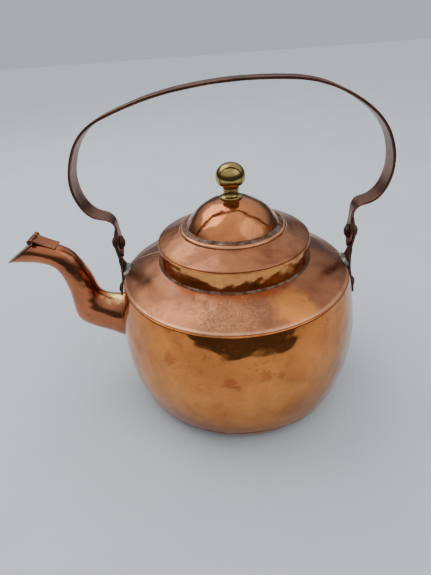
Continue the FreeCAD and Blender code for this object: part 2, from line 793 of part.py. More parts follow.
def dome_solder():
    top_h = lid_ledge_h + dome_solder_rise
    wedge = polygon_ring([
        at(dome_foot_r - bead_size, lid_ledge_h + solder_film),
        at(bead_r, lid_ledge_h + solder_film),
        at(bead_r, lid_ledge_h + bead_size * 0.9),
        at(dome_foot_r - bead_size, top_h + bead_size * 0.4),
    ])
    wedge = wedge.cut(dome_shell(dome_sphere_r + solder_film))
    reach = bead_size + solder_film
    bead_space = ring([
        line(at(bead_r, lid_ledge_h - reach), at(bead_r, lid_ledge_h + reach)),
        arc(at(bead_r, lid_ledge_h + reach), at(bead_r - reach, lid_ledge_h),
            at(bead_r, lid_ledge_h - reach)),
    ])
    return largest(wedge.cut(bead_space))


def knob():
    foot = knob_edge_h
    ball_h = foot + knob_ball_h
    throat = at(knob_throat_r, foot + knob_throat_h)
    ball_top = at(0, ball_h + knob_ball_half_h)
    equator = at(knob_ball_r, ball_h)
    waist = at(knob_waist_r, foot + knob_waist_h)
    stud_low = dome_top_h - knob_stud_drop
    edges = [
        line(at(0, stud_low), at(knob_stud_r, stud_low)),
        line(at(knob_stud_r, stud_low), at(knob_stud_r, dome_top_h - overshoot / 2)),
        line(at(knob_stud_r, dome_top_h - overshoot / 2), at(knob_foot_r, dome_top_h - overshoot / 2)),
        line(at(knob_foot_r, dome_top_h - overshoot / 2), at(knob_foot_r, foot + knob_foot_h)),
        bezier(at(knob_foot_r, foot + knob_foot_h), at(knob_waist_r, foot + knob_foot_h + 1.2), waist),
        bezier(waist, at(knob_waist_r, (waist.z + throat.z) / 2 + 0.8), throat),
        arc(throat, at(knob_ball_r * 0.965, ball_h - knob_ball_half_h * 0.27), equator),
        quarter_oval(equator, at(knob_ball_r, ball_h + knob_ball_half_h), ball_top),
        line(ball_top, at(0, stud_low)),
    ]
    turned = ring(edges)
    stud = cylinder(knob_stud_r, at(0, stud_low), Z_AXIS, knob_stud_drop + knob_foot_h)
    seated = turned.cut(dome_shell(dome_sphere_r + solder_film))
    return largest(fuse([seated, stud]))


def knob_washer():
    top = dome_centre_h + math.sqrt((dome_sphere_r - dome_sheet) ** 2 - knob_washer_r ** 2) - rest_gap
    start = at(0, top - knob_washer_t)
    disc = cylinder(knob_washer_r, start, Z_AXIS, knob_washer_t)
    return disc.cut(stud_hole())


def knob_nut():
    top = knob_washer().BoundBox.ZMin
    half = knob_nut_across / 2
    block = Part.makeBox(knob_nut_across, knob_nut_across, knob_nut_t, V(-half, -half, top - knob_nut_t))
    corners = cylinder(half * 1.3, at(0, top - knob_nut_t), Z_AXIS, knob_nut_t)
    hole = cylinder(knob_stud_r + stud_gap / 2, at(0, top - knob_nut_t), Z_AXIS, knob_nut_t)
    return block.common(corners).cut(hole)


# ---- build ---------------------------------------------------------------------------------

def build():
    shell = body_shell()
    outer = spout_form(0)
    bore = spout_form(-sheet)
    front_ear = mirrored(rear_side_ear(front_ear_foot_h, front_ear_rivet_h))
    rear_ear = rear_side_ear(rear_ear_foot_h, rear_ear_rivet_h)
    solder = rear_ear_solder(rear_ear)
    plate = lid_plate()
    return {
        "body_wall": body_wall(shell, bore),
        "base_pan": base_pan(shell),
        "shoulder": shoulder(),
        "shoulder_seam": shoulder_seam(),
        "neck_collar": neck_collar(),
        "neck_solder": neck_solder(),
        "spout": spout(outer, bore),
        "spout_flange": spout_flange(front_ear),
        "hinge_leaf": hinge_leaf(),
        "hinge_pin": hinge_pin(),
        "spout_flap": spout_flap(),
        "front_ear": front_ear,
        "rear_ear": rear_ear,
        "front_ear_rivet": mirrored(ear_rivet(front_ear_rivet_h)),
        "rear_ear_rivet": ear_rivet(rear_ear_rivet_h),
        "front_ear_solder": mirrored(solder),
        "rear_ear_solder": solder,
        "front_pivot_rivet": mirrored(rear_pivot_rivet()),
        "rear_pivot_rivet": rear_pivot_rivet(),
        "front_pivot_washer": mirrored(rear_pivot_washer()),
        "rear_pivot_washer": rear_pivot_washer(),
        "handle_strap": handle_strap(),
        "lid_plate": plate,
        "lid_flange": lid_flange(plate),
        "lid_bead": lid_bead(),
        "lid_dome": lid_dome(),
        "dome_solder": dome_solder(),
        "knob": knob(),
        "knob_washer": knob_washer(),
        "knob_nut": knob_nut(),
    }


os.makedirs("parts", exist_ok=True)
for name, shape in build().items():
    shape.exportStep("parts/" + name + ".step")
    print(name, "solids", len(shape.Solids), "valid", shape.isValid(), "cm3", round(shape.Volume / 1000, 3))
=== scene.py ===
import math

import bpy
import numpy as np
from mathutils import Matrix, Vector

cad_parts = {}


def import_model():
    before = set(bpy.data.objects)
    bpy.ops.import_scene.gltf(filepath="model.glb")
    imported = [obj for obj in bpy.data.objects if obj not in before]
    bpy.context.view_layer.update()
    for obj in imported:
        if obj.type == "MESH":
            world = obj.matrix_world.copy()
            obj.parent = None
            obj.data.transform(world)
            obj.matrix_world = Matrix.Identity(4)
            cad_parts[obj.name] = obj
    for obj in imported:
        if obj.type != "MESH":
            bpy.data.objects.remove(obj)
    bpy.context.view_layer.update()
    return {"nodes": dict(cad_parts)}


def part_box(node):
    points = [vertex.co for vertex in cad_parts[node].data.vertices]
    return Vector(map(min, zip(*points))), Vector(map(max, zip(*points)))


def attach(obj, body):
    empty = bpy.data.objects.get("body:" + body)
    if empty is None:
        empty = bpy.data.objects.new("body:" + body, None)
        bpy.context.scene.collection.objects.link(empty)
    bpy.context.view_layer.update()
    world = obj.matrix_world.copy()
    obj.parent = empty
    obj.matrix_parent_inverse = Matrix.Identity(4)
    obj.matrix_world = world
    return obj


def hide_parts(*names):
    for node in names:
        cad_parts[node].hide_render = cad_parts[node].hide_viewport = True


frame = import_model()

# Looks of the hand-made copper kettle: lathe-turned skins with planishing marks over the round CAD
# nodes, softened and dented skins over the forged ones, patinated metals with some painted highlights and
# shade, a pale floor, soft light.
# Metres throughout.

MM = 0.001


# ---- sizes read from the frame -----------------------------------------------------------------

def low(node):
    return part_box(node)[0]


def high(node):
    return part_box(node)[1]


SHEET = 1.2 * MM
BASE_FLAT_R = 84.0 * MM
HEEL_CORNER_R = 101.0 * MM
HEEL_R = 107.1 * MM
HEEL_H = 38.5 * MM
SPOUT_ROOT_H = 97.0 * MM
BELLY_H = 66.0 * MM
BELLY_R = high("body_wall").y
CREASE_R = high("shoulder").x
CREASE_H = high("body_wall").z + SHEET
SEAM_H = high("base_pan").z
NECK_R = high("neck_collar").x
NECK_FOOT_H = low("neck_collar").z
NECK_TOP_H = high("neck_collar").z
LEDGE = 1.6 * MM
LIP_R = high("lid_plate").x
LIP_LOW_H = low("lid_plate").z
SLOPE_R = 61.5 * MM
SLOPE_H = 156.7 * MM
LID_LEDGE_R = 46.4 * MM
LID_LEDGE_H = high("lid_plate").z
LID_HOLE_R = 36.0 * MM
BEAD_OUT_R = high("lid_bead").x
BEAD_SIZE = high("lid_bead").z - low("lid_bead").z
BEAD_R = BEAD_OUT_R - BEAD_SIZE
DOME_FOOT_R = high("lid_dome").x
DOME_TOP_H = high("lid_dome").z
DOME_SPHERE_R = 45.7 * MM
DOME_SHEET = 1.0 * MM
DOME_STUD_HOLE_R = 2.6 * MM
KNOB_FOOT_R = 9.5 * MM


# ---- shapes --------------------------------------------------------------------------------------

def ripple(points, wavelength, seed, waves=22):
    """Smooth noise of about unit size over an array of points: a sum of plane waves."""
    rng = np.random.default_rng(seed)
    total = np.zeros(len(points))
    for _ in range(waves):
        way = rng.normal(size=3)
        way /= np.linalg.norm(way)
        pitch = 2 * math.pi / (wavelength * rng.uniform(0.7, 1.5))
        total += np.sin(points @ way * pitch + rng.uniform(0, 2 * math.pi))
    return total / math.sqrt(waves / 2)


def new_mesh(name, verts, faces):
    mesh = bpy.data.meshes.new(name)
    mesh.from_pydata([tuple(v) for v in verts], [], [tuple(f) for f in faces])
    mesh.shade_smooth()
    piece = bpy.data.objects.new(name, mesh)
    bpy.context.scene.collection.objects.link(piece)
    return piece


def resample(points, step):
    """The closed outline with points about step apart."""
    result = []
    count = len(points)
    for i in range(count):
        a, b = np.array(points[i]), np.array(points[(i + 1) % count])
        pieces = max(1, int(round(np.linalg.norm(b - a) / step)))
        for k in range(pieces):
            result.append(a + (b - a) * k / pieces)
    return np.array(result)


def bezier_points(a, b, c, count):
    return [((1 - t) ** 2 * a[0] + 2 * t * (1 - t) * b[0] + t * t * c[0],
             (1 - t) ** 2 * a[1] + 2 * t * (1 - t) * b[1] + t * t * c[1])
            for t in (i / count for i in range(count + 1))]


def lathe(name, outline, step=1.2 * MM, segments=288, wobble=None):
    """A closed (radius, height) outline turned about Z. wobble(points, normals) gives an outward push."""
    profile = resample(outline, step)
    count = len(profile)
    turn = np.arange(segments) * 2 * math.pi / segments
    ring_r = np.maximum(profile[:, 0], 0)
    x = np.outer(np.cos(turn), ring_r)
    y = np.outer(np.sin(turn), ring_r)
    z = np.tile(profile[:, 1], (segments, 1))
    points = np.stack([x, y, z], axis=-1).reshape(-1, 3)
    along = np.roll(profile, -1, axis=0) - np.roll(profile, 1, axis=0)
    length = np.maximum(np.linalg.norm(along, axis=1), 1e-9)
    normal_r, normal_z = along[:, 1] / length, -along[:, 0] / length
    area = np.sum(profile[:, 0] * np.roll(profile[:, 1], -1) - np.roll(profile[:, 0], -1) * profile[:, 1])
    if area < 0:
        normal_r, normal_z = -normal_r, -normal_z
    normals = np.stack([np.outer(np.cos(turn), normal_r), np.outer(np.sin(turn), normal_r),
                        np.tile(normal_z, (segments, 1))], axis=-1).reshape(-1, 3)
    if wobble:
        points = points + wobble(points, normals)
    a = np.arange(segments)[:, None] * count + np.arange(count)[None, :]
    b = np.roll(a, -1, axis=0)
    quads = np.stack([a, b, np.roll(b, -1, axis=1), np.roll(a, -1, axis=1)], axis=-1).reshape(-1, 4)
    if area < 0:
        quads = quads[:, ::-1]
    return new_mesh(name, points, quads)


def ripples(*layers):
    """A wobble that pushes along the normal: layers are (size, wavelength, seed)."""
    def push(points, normals):
        total = np.zeros(len(points))
        for size, wavelength, seed in layers:
            total += size * ripple(points, wavelength, seed)
        return normals * total[:, None]
    return push


def rising(gap, width):
    """0 at an edge, 1 from width away."""
    return np.clip(gap / width, 0, 1)


def radius_of(points):
    return np.hypot(points[:, 0], points[:, 1])


def faded(fade, *layers):
    """Ripples held back by fade(points), 0 to 1, where a piece meets its neighbours."""
    return lambda points, normals: ripples(*layers)(points, normals) * fade(points)[:, None]


def round_points(half_w, half_h, centre_h, start, end, count):
    """An arc or oval about a point on the axis at centre_h, from angle start to end."""
    return [(half_w * math.cos(angle), centre_h + half_h * math.sin(angle))
            for angle in np.linspace(start, end, count)]


def forged(node, voxel, layers):
    """A skin over a CAD node: the same form with softened arrises and an uneven, hammered surface."""
    source = frame["nodes"][node]
    piece = bpy.data.objects.new("skin_" + node, source.data.copy())
    piece.data.transform(source.matrix_world)
    bpy.context.scene.collection.objects.link(piece)
    weld = piece.modifiers.new("weld", "WELD")
    weld.merge_threshold = 0.01 * MM
    remesh = piece.modifiers.new("remesh", "REMESH")
    remesh.mode = "VOXEL"
    remesh.voxel_size = voxel
    relax = piece.modifiers.new("relax", "SMOOTH")
    relax.factor = 0.5
    relax.iterations = 4
    bpy.context.view_layer.update()
    mesh = bpy.data.meshes.new_from_object(piece.evaluated_get(bpy.context.evaluated_depsgraph_get()))
    piece.modifiers.clear()
    piece.data = mesh
    count = len(mesh.vertices)
    points = np.empty(count * 3)
    mesh.vertices.foreach_get("co", points)
    points = points.reshape(-1, 3)
    normals = np.empty(count * 3)
    mesh.vertices.foreach_get("normal", normals)
    points = points + ripples(*layers)(points, normals.reshape(-1, 3))
    mesh.vertices.foreach_set("co", points.reshape(-1))
    mesh.materials.clear()
    mesh.shade_smooth()
    mesh.update()
    return piece


# ---- materials -----------------------------------------------------------------------------------

class Paint:
    """Builds one procedural metal, in object coordinates."""

    def __init__(self, name):
        self.material = bpy.data.materials.new(name)
        self.material.use_nodes = True
        self.nodes = self.material.node_tree.nodes
        self.links = self.material.node_tree.links
        self.shader = self.nodes["Principled BSDF"]
        self.place = self.nodes.new("ShaderNodeTexCoord").outputs["Object"]

    def node(self, kind, **inputs):
        made = self.nodes.new(kind)
        for key, value in inputs.items():
            socket = made.inputs[key.replace("_", " ")]
            if isinstance(value, bpy.types.NodeSocket):
                self.links.new(value, socket)
            else:
                socket.default_value = value
        return made

    def noise(self, scale, detail=3.0, rough=0.55, stretch=None, distort=0.0):
        place = self.place
        if stretch:
            place = self.node("ShaderNodeMapping", Vector=place, Scale=stretch).outputs[0]
        made = self.node("ShaderNodeTexNoise", Vector=place, Scale=scale, Detail=detail,
                         Roughness=rough, Distortion=distort)
        return made.outputs["Fac"]

    def ramp(self, value, stops):
        """stops are (position, grey or colour)."""
        made = self.node("ShaderNodeValToRGB", Fac=value)
        elements = made.color_ramp.elements
        while len(elements) < len(stops):
            elements.new(0.5)
        for element, (position, tone) in zip(elements, stops):
            element.position = position
            element.color = (tone, tone, tone, 1) if isinstance(tone, float) else (*tone, 1)
        return made.outputs["Color"]

    def mix(self, factor, a, b, blend="MIX"):
        made = self.nodes.new("ShaderNodeMix")
        made.data_type = "RGBA"
        made.blend_type = blend
        for index, value in ((0, factor), (6, a), (7, b)):
            if isinstance(value, bpy.types.NodeSocket):
                self.links.new(value, made.inputs[index])
            elif index:
                made.inputs[index].default_value = (*value, 1)
            else:
                made.inputs[index].default_value = value
        return made.outputs[2]

    def math(self, operation, a, b):
        made = self.nodes.new("ShaderNodeMath")
        made.operation = operation
        for index, value in enumerate((a, b)):
            if isinstance(value, bpy.types.NodeSocket):
                self.links.new(value, made.inputs[index])
            else:
                made.inputs[index].default_value = value
        return made.outputs[0]

    def height(self, bottom, top):
        """0 at height bottom, 1 at height top, in metres."""
        z = self.node("ShaderNodeSeparateXYZ", Vector=self.place).outputs["Z"]
        made = self.nodes.new("ShaderNodeMapRange")
        self.links.new(z, made.inputs["Value"])
        made.inputs["From Min"].default_value = bottom
        made.inputs["From Max"].default_value = top
        return made.outputs[0]

    def patch(self, centre, radius, ragged=0.5, scale=120.0):
        """1 in a ragged patch round centre, 0 beyond radius."""
        made = self.nodes.new("ShaderNodeVectorMath")
        made.operation = "DISTANCE"
        self.links.new(self.place, made.inputs[0])
        made.inputs[1].default_value = centre
        near = self.math("DIVIDE", made.outputs["Value"], radius)
        wander = self.math("MULTIPLY", self.math("SUBTRACT", self.noise(scale, 4.0, 0.6), 0.5), 2 * ragged)
        return self.ramp(self.math("ADD", near, wander), [(0.55, 1.0), (0.95, 0.0)])

    def finish(self, colour, roughness, bump, bump_depth, metallic=1.0):
        self.links.new(colour, self.shader.inputs["Base Color"])
        self.links.new(roughness, self.shader.inputs["Roughness"])
        self.shader.inputs["Metallic"].default_value = metallic
        relief = self.node("ShaderNodeBump", Height=bump, Distance=bump_depth, Strength=1.0)
        self.links.new(relief.outputs[0], self.shader.inputs["Normal"])
        return self.material


def copper(name, bright, dull, dark, shine, stain, pits, relief=0.12 * MM, tint=None):
    """Patinated copper or brass: bright and dull clouds, dark stains, small pits, fine scratches.

    shine is the roughness of its clean and its smeared parts; stain and pits are how strongly those show.
    """
    paint = Paint(name)
    clouds = paint.noise(26.0, 5.0, 0.6, distort=0.6)
    colour = paint.mix(paint.ramp(clouds, [(0.36, 0.0), (0.64, 1.0)]), dull, bright)
    if tint:
        colour = tint(paint, colour)
    stains = paint.ramp(paint.noise(48.0, 7.0, 0.68, distort=1.2), [(0.52, 0.0), (0.72, 1.0)])
    colour = paint.mix(paint.math("MULTIPLY", stains, stain), colour, dark)
    specks = paint.ramp(paint.noise(520.0, 3.0, 0.6), [(0.62, 0.0), (0.7, 1.0)])
    gate = paint.ramp(paint.noise(34.0, 3.0, 0.6), [(0.5, 0.0), (0.66, 1.0)])
    specks = paint.math("MULTIPLY", paint.math("MULTIPLY", specks, gate), pits)
    colour = paint.mix(specks, colour, dark)
    scratches = paint.noise(900.0, 2.0, 0.5, stretch=(1.0, 1.0, 0.06))
    smears = paint.noise(70.0, 5.0, 0.65, distort=0.8)
    rough = paint.math("ADD", paint.ramp(smears, [(0.3, shine[0]), (0.72, shine[1])]),
                       paint.math("MULTIPLY", stains, 0.16))
    waves = paint.noise(85.0, 2.0, 0.5)
    grain = paint.noise(420.0, 4.0, 0.6)
    bump = paint.math("ADD", waves, paint.math("MULTIPLY", grain, 0.10))
    bump = paint.math("ADD", bump, paint.math("MULTIPLY", scratches, 0.025))
    bump = paint.math("SUBTRACT", bump, paint.math("MULTIPLY", specks, 0.6))
    return paint.finish(colour, rough, bump, relief)


# Red-brown stains on the wall: azimuth in degrees, height, radius, strength.
WALL_STAINS = [
    (-94.0, 84 * MM, 7 * MM, 0.55), (-91.0, 79 * MM, 4 * MM, 0.5), (-120.0, 97 * MM, 7 * MM, 0.45),
    (-79.0, 88 * MM, 6 * MM, 0.45), (-73.0, 86 * MM, 4 * MM, 0.4), (-106.0, 92 * MM, 4 * MM, 0.4),
    (35.0, 90 * MM, 9 * MM, 0.5), (100.0, 84 * MM, 9 * MM, 0.5), (150.0, 60 * MM, 8 * MM, 0.4),
]


def wall_stains_and_painted_shade(paint, colour):
    """Red-brown stains; darker and greyer towards the base, golden in the middle, browner under the crease;
    painted shade darkens the +X side.
    """
    for azimuth, height, radius, strength in WALL_STAINS:
        turn = math.radians(azimuth)
        centre = (BELLY_R * math.cos(turn), BELLY_R * math.sin(turn), height)
        stain = paint.math("MULTIPLY", paint.patch(centre, radius, 1.1, 240.0), strength)
        colour = paint.mix(stain, colour, (0.34, 0.075, 0.03))
    rise = paint.height(0.0, CREASE_H)
    wander = paint.math("MULTIPLY", paint.math("SUBTRACT", paint.noise(22.0, 4.0), 0.5), 0.35)
    bands = paint.ramp(paint.math("ADD", rise, wander),
                       [(0.0, (0.36, 0.32, 0.27)), (0.24, (0.68, 0.64, 0.58)), (0.5, (1.0, 1.0, 1.0)),
                        (1.0, (0.94, 0.80, 0.72))])
    colour = paint.mix(1.0, colour, bands, "MULTIPLY")
    # Painted shade: the +X side of the wall is darkened to a browner copper.
    painted_shade_side = paint.patch((BELLY_R, 0.0, BELLY_H), BELLY_R, 0.2, 30.0)
    return paint.mix(paint.math("MULTIPLY", painted_shade_side, 0.7), colour, (0.34, 0.16, 0.075))


def shoulder_painted_highlights(paint, colour):
    """Painted highlights on the shoulder: a painted highlight along the rubbed crease, painted glints on
    the speckled front and a bright painted highlight patch at the front right.
    """
    middle_r, middle_h = (CREASE_R + NECK_R) / 2, (CREASE_H + NECK_FOOT_H) / 2
    # Bright orange speckles over the front: painted glints on the speckled, pitted metal.
    glint_speckles = paint.ramp(paint.noise(760.0, 4.0, 0.7), [(0.44, 0.0), (0.62, 1.0)])
    front = paint.patch((-8 * MM, -middle_r, middle_h), 34 * MM, 0.6, 60.0)
    colour = paint.mix(paint.math("MULTIPLY", paint.math("MULTIPLY", front, glint_speckles), 0.55), colour,
                       (0.80, 0.38, 0.18))
    # A painted highlight: a bright orange patch at the front right of the shoulder.
    painted_highlight = paint.patch((44 * MM, -middle_r + 6 * MM, middle_h), 22 * MM, 0.5, 70.0)
    colour = paint.mix(paint.math("MULTIPLY", painted_highlight, 0.65), colour, (0.98, 0.36, 0.08))
    # A bright band along the crease: rubbed metal and a painted highlight.
    rubbed_crease_highlight = paint.ramp(paint.height(CREASE_H - 1 * MM, CREASE_H + 1.2 * MM), [(0.5, 0.85), (1.0, 0.0)])
    return paint.mix(rubbed_crease_highlight, colour, (0.90, 0.42, 0.22))


def spout_tint(paint, colour):
    """Yellow braze left along the top of the root."""
    root = paint.patch((-(BELLY_R + 4 * MM), 0.0, SPOUT_ROOT_H), 13 * MM, 0.9, 150.0)
    return paint.mix(paint.math("MULTIPLY", root, 0.75), colour, (0.78, 0.56, 0.20))


def solder(name, tones, verdigris_cover):
    """Dull tin in three tones, with a little verdigris."""
    paint = Paint(name)
    clouds = paint.noise(150.0, 5.0, 0.65)
    colour = paint.ramp(clouds, list(zip((0.34, 0.5, 0.66), tones)))
    verdigris = paint.ramp(paint.noise(90.0, 4.0, 0.6), [(0.56, 0.0), (0.66, verdigris_cover)])
    colour = paint.mix(verdigris, colour, (0.14, 0.27, 0.22))
    rough = paint.ramp(clouds, [(0.3, 0.62), (0.7, 0.38)])
    return paint.finish(colour, rough, paint.noise(420.0, 4.0, 0.6), 0.25 * MM, metallic=0.8)


MATERIALS = {
    "wall": copper("wall_copper", (0.82, 0.32, 0.085), (0.58, 0.21, 0.06), (0.16, 0.065, 0.035),
                   shine=(0.06, 0.18), stain=0.35, pits=0.9, tint=wall_stains_and_painted_shade),
    "shoulder": copper("shoulder_copper", (0.48, 0.185, 0.085), (0.31, 0.125, 0.065), (0.12, 0.055, 0.035),
                       shine=(0.24, 0.38), stain=0.45, pits=0.8, tint=shoulder_painted_highlights),
    "collar": copper("collar_copper", (0.86, 0.37, 0.11), (0.62, 0.25, 0.08), (0.12, 0.05, 0.03),
                     shine=(0.06, 0.15), stain=0.5, pits=1.0),
    "lid": copper("lid_copper", (0.54, 0.205, 0.09), (0.36, 0.145, 0.075), (0.14, 0.065, 0.04),
                  shine=(0.22, 0.34), stain=0.35, pits=0.4),
    "bead": copper("bead_copper", (0.80, 0.34, 0.15), (0.56, 0.24, 0.11), (0.16, 0.085, 0.06),
                   shine=(0.14, 0.26), stain=0.4, pits=0.3),
    "dome": copper("dome_copper", (0.66, 0.235, 0.085), (0.44, 0.165, 0.07), (0.16, 0.075, 0.05),
                   shine=(0.09, 0.20), stain=0.3, pits=0.4),
    "spout": copper("spout_copper", (0.50, 0.17, 0.075), (0.31, 0.115, 0.06), (0.10, 0.045, 0.03),
                    shine=(0.12, 0.26), stain=0.45, pits=0.5, tint=spout_tint),
    "handle": copper("handle_copper", (0.29, 0.13, 0.085), (0.16, 0.08, 0.055), (0.06, 0.035, 0.027),
                     shine=(0.26, 0.42), stain=0.5, pits=0.5),
    "dark": copper("dark_copper", (0.16, 0.085, 0.06), (0.07, 0.042, 0.034), (0.025, 0.018, 0.016),
                   shine=(0.36, 0.56), stain=0.6, pits=0.8, relief=0.3 * MM),
    "brass": copper("knob_brass", (0.44, 0.31, 0.10), (0.28, 0.20, 0.07), (0.10, 0.07, 0.03),
                    shine=(0.06, 0.15), stain=0.25, pits=0.5, relief=0.04 * MM),
    "braze": copper("braze_brass", (0.80, 0.62, 0.30), (0.60, 0.46, 0.22), (0.18, 0.12, 0.07),
                    shine=(0.3, 0.45), stain=0.3, pits=0.3),
    "solder": solder("tin_solder", ((0.06, 0.055, 0.05), (0.20, 0.20, 0.18), (0.44, 0.46, 0.44)), 0.8),
    "seam": solder("seam_solder", ((0.07, 0.035, 0.022), (0.17, 0.085, 0.05), (0.28, 0.22, 0.18)), 0.15),
}


def dress(piece, body, material, node):
    """Give a skin its metal and its body, and hide the CAD node that it stands for."""
    piece.data.materials.clear()
    piece.data.materials.append(MATERIALS[material])
    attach(piece, body)
    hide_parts(node)


# ---- turned pieces -------------------------------------------------------------------------------

def wall_r(height):
    share = (height - BELLY_H) / (CREASE_H - BELLY_H)
    return BELLY_R - (BELLY_R - CREASE_R) * share ** 2


def wall_points(inset, bottom, top):
    """Belly line from bottom to top, moved inwards by inset."""
    count = 60
    heights = [bottom + (top - bottom) * i / count for i in range(count + 1)]
    return [(wall_r(h) - inset, h) for h in heights]


def heel_points(inset):
    return bezier_points((BASE_FLAT_R - inset / 2, inset), (HEEL_CORNER_R - inset, inset),
                         (HEEL_R - inset, HEEL_H), 40)


def body_skins():
    heel = heel_points(0)
    inner = heel_points(SHEET)
    pan_out = [p for p in heel if p[1] < SEAM_H]
    wall_out = [p for p in heel if p[1] >= SEAM_H] + wall_points(0, HEEL_H, CREASE_H - SHEET)[1:]
    pan_in = [p for p in inner if p[1] < SEAM_H]
    wall_in = [p for p in inner if p[1] >= SEAM_H] + wall_points(SHEET, HEEL_H, CREASE_H - SHEET)[1:]
    planish = [(0.20 * MM, 46 * MM, 3), (0.10 * MM, 21 * MM, 4), (0.03 * MM, 9 * MM, 5)]
    wall = lathe("skin_body_wall", wall_out + wall_in[::-1], wobble=ripples(*planish))
    dress(wall, "kettle", "wall", "body_wall")
    pan = lathe("skin_base_pan", [(0, 0)] + pan_out + pan_in[::-1] + [(0, SHEET)], step=2 * MM,
                wobble=faded(lambda points: rising(points[:, 2], 8 * MM), *planish))
    dress(pan, "kettle", "wall", "base_pan")


def shoulder_skin():
    ledge_r = NECK_R + LEDGE
    hole_r = NECK_R - SHEET - LEDGE
    crown = 1.0 * MM
    rounded = 1.3 * MM
    edge_fade = 6 * MM

    def slope_line(drop, outer):
        """The slightly crowned slope from outer up to the collar's foot, drop below the top face."""
        points = []
        for t in np.linspace(0, 1, 41):
            points.append((outer[0] + (ledge_r - outer[0]) * t,
                           outer[1] + (NECK_FOOT_H - drop - outer[1]) * t + crown * 4 * t * (1 - t)))
        return points

    def fade(points):
        radius = radius_of(points)
        return rising(CREASE_R - radius, edge_fade) * rising(radius - ledge_r, edge_fade)
    rise = (NECK_FOOT_H - CREASE_H) / (CREASE_R - ledge_r)
    start = (CREASE_R - rounded, CREASE_H + rounded * rise)
    edge = bezier_points((CREASE_R, CREASE_H - rounded / 2), (CREASE_R, CREASE_H), start, 6)
    under = slope_line(SHEET, (CREASE_R - SHEET, CREASE_H - SHEET))
    outline = ([(CREASE_R, CREASE_H - SHEET)] + edge + slope_line(0, start)[1:]
               + [(hole_r, NECK_FOOT_H), (hole_r, NECK_FOOT_H - SHEET)] + under[::-1])
    piece = lathe("skin_shoulder", outline,
                  wobble=faded(fade, (0.14 * MM, 38 * MM, 11), (0.07 * MM, 16 * MM, 12)))
    dress(piece, "kettle", "shoulder", "shoulder")


def collar_skin():
    inner = NECK_R - SHEET
    shoulder_h = NECK_TOP_H - SHEET / 2
    rim = bezier_points((NECK_R, shoulder_h), (NECK_R, NECK_TOP_H), (NECK_R - SHEET / 2, NECK_TOP_H), 5)
    outline = [(NECK_R, NECK_FOOT_H)] + rim + [(inner, NECK_TOP_H - SHEET / 4), (inner, NECK_FOOT_H)]

    def fade(points):
        height = points[:, 2]
        return rising(NECK_TOP_H - height, 4 * MM) * rising(height - NECK_FOOT_H, 3 * MM)
    piece = lathe("skin_neck_collar", outline, step=0.8 * MM,
                  wobble=faded(fade, (0.12 * MM, 26 * MM, 21), (0.05 * MM, 9 * MM, 22)))
    dress(piece, "kettle", "collar", "neck_collar")


def lid_plate_skin():
    slope = (LID_LEDGE_H - SLOPE_H) / (SLOPE_R - LID_LEDGE_R)
    seat_r = NECK_R - SHEET - 0.5 * MM
    lip_corner = (LIP_R, SLOPE_H - slope * (LIP_R - SLOPE_R))
    lip = bezier_points((LIP_R, LIP_LOW_H + 1.0 * MM), lip_corner, (SLOPE_R, SLOPE_H), 12)
    outline = ([(LIP_R, LIP_LOW_H)] + lip + [(LID_LEDGE_R, LID_LEDGE_H), (LID_HOLE_R, LID_LEDGE_H),
               (LID_HOLE_R, LID_LEDGE_H - SHEET), (LID_LEDGE_R - SHEET / 2, LID_LEDGE_H - SHEET),
               (SLOPE_R - SHEET, SLOPE_H - SHEET), (seat_r, LIP_LOW_H + SHEET), (seat_r, LIP_LOW_H)])

    def fade(points):
        radius = radius_of(points)
        return np.maximum(rising(LIP_R - radius, 5 * MM), 0.1) * rising(radius - LID_LEDGE_R, 4 * MM)
    piece = lathe("skin_lid_plate", outline, step=0.9 * MM,
                  wobble=faded(fade, (0.13 * MM, 30 * MM, 31), (0.05 * MM, 11 * MM, 32)))
    dress(piece, "lid", "lid", "lid_plate")


def lid_bead_skin():
    arc = [(BEAD_R + across, height)
           for across, height in round_points(BEAD_SIZE, BEAD_SIZE, LID_LEDGE_H, 0, math.pi, 21)]
    piece = lathe("skin_lid_bead", arc, step=0.4 * MM, wobble=ripples((0.05 * MM, 14 * MM, 41)))
    dress(piece, "lid", "bead", "lid_bead")


def lid_dome_skin():
    centre_h = DOME_TOP_H - DOME_SPHERE_R

    def shell(radius):
        foot = math.asin((LID_LEDGE_H - centre_h) / radius)
        return round_points(radius, radius, centre_h, foot, math.acos(DOME_STUD_HOLE_R / radius), 60)

    def fade(points):
        radius = radius_of(points)
        return rising(DOME_FOOT_R - radius, 4 * MM) * rising(radius - KNOB_FOOT_R, 5 * MM)
    outline = shell(DOME_SPHERE_R) + shell(DOME_SPHERE_R - DOME_SHEET)[::-1]
    piece = lathe("skin_lid_dome", outline, step=1.0 * MM,
                  wobble=faded(fade, (0.16 * MM, 24 * MM, 51), (0.05 * MM, 10 * MM, 52)))
    dress(piece, "lid", "dome", "lid_dome")


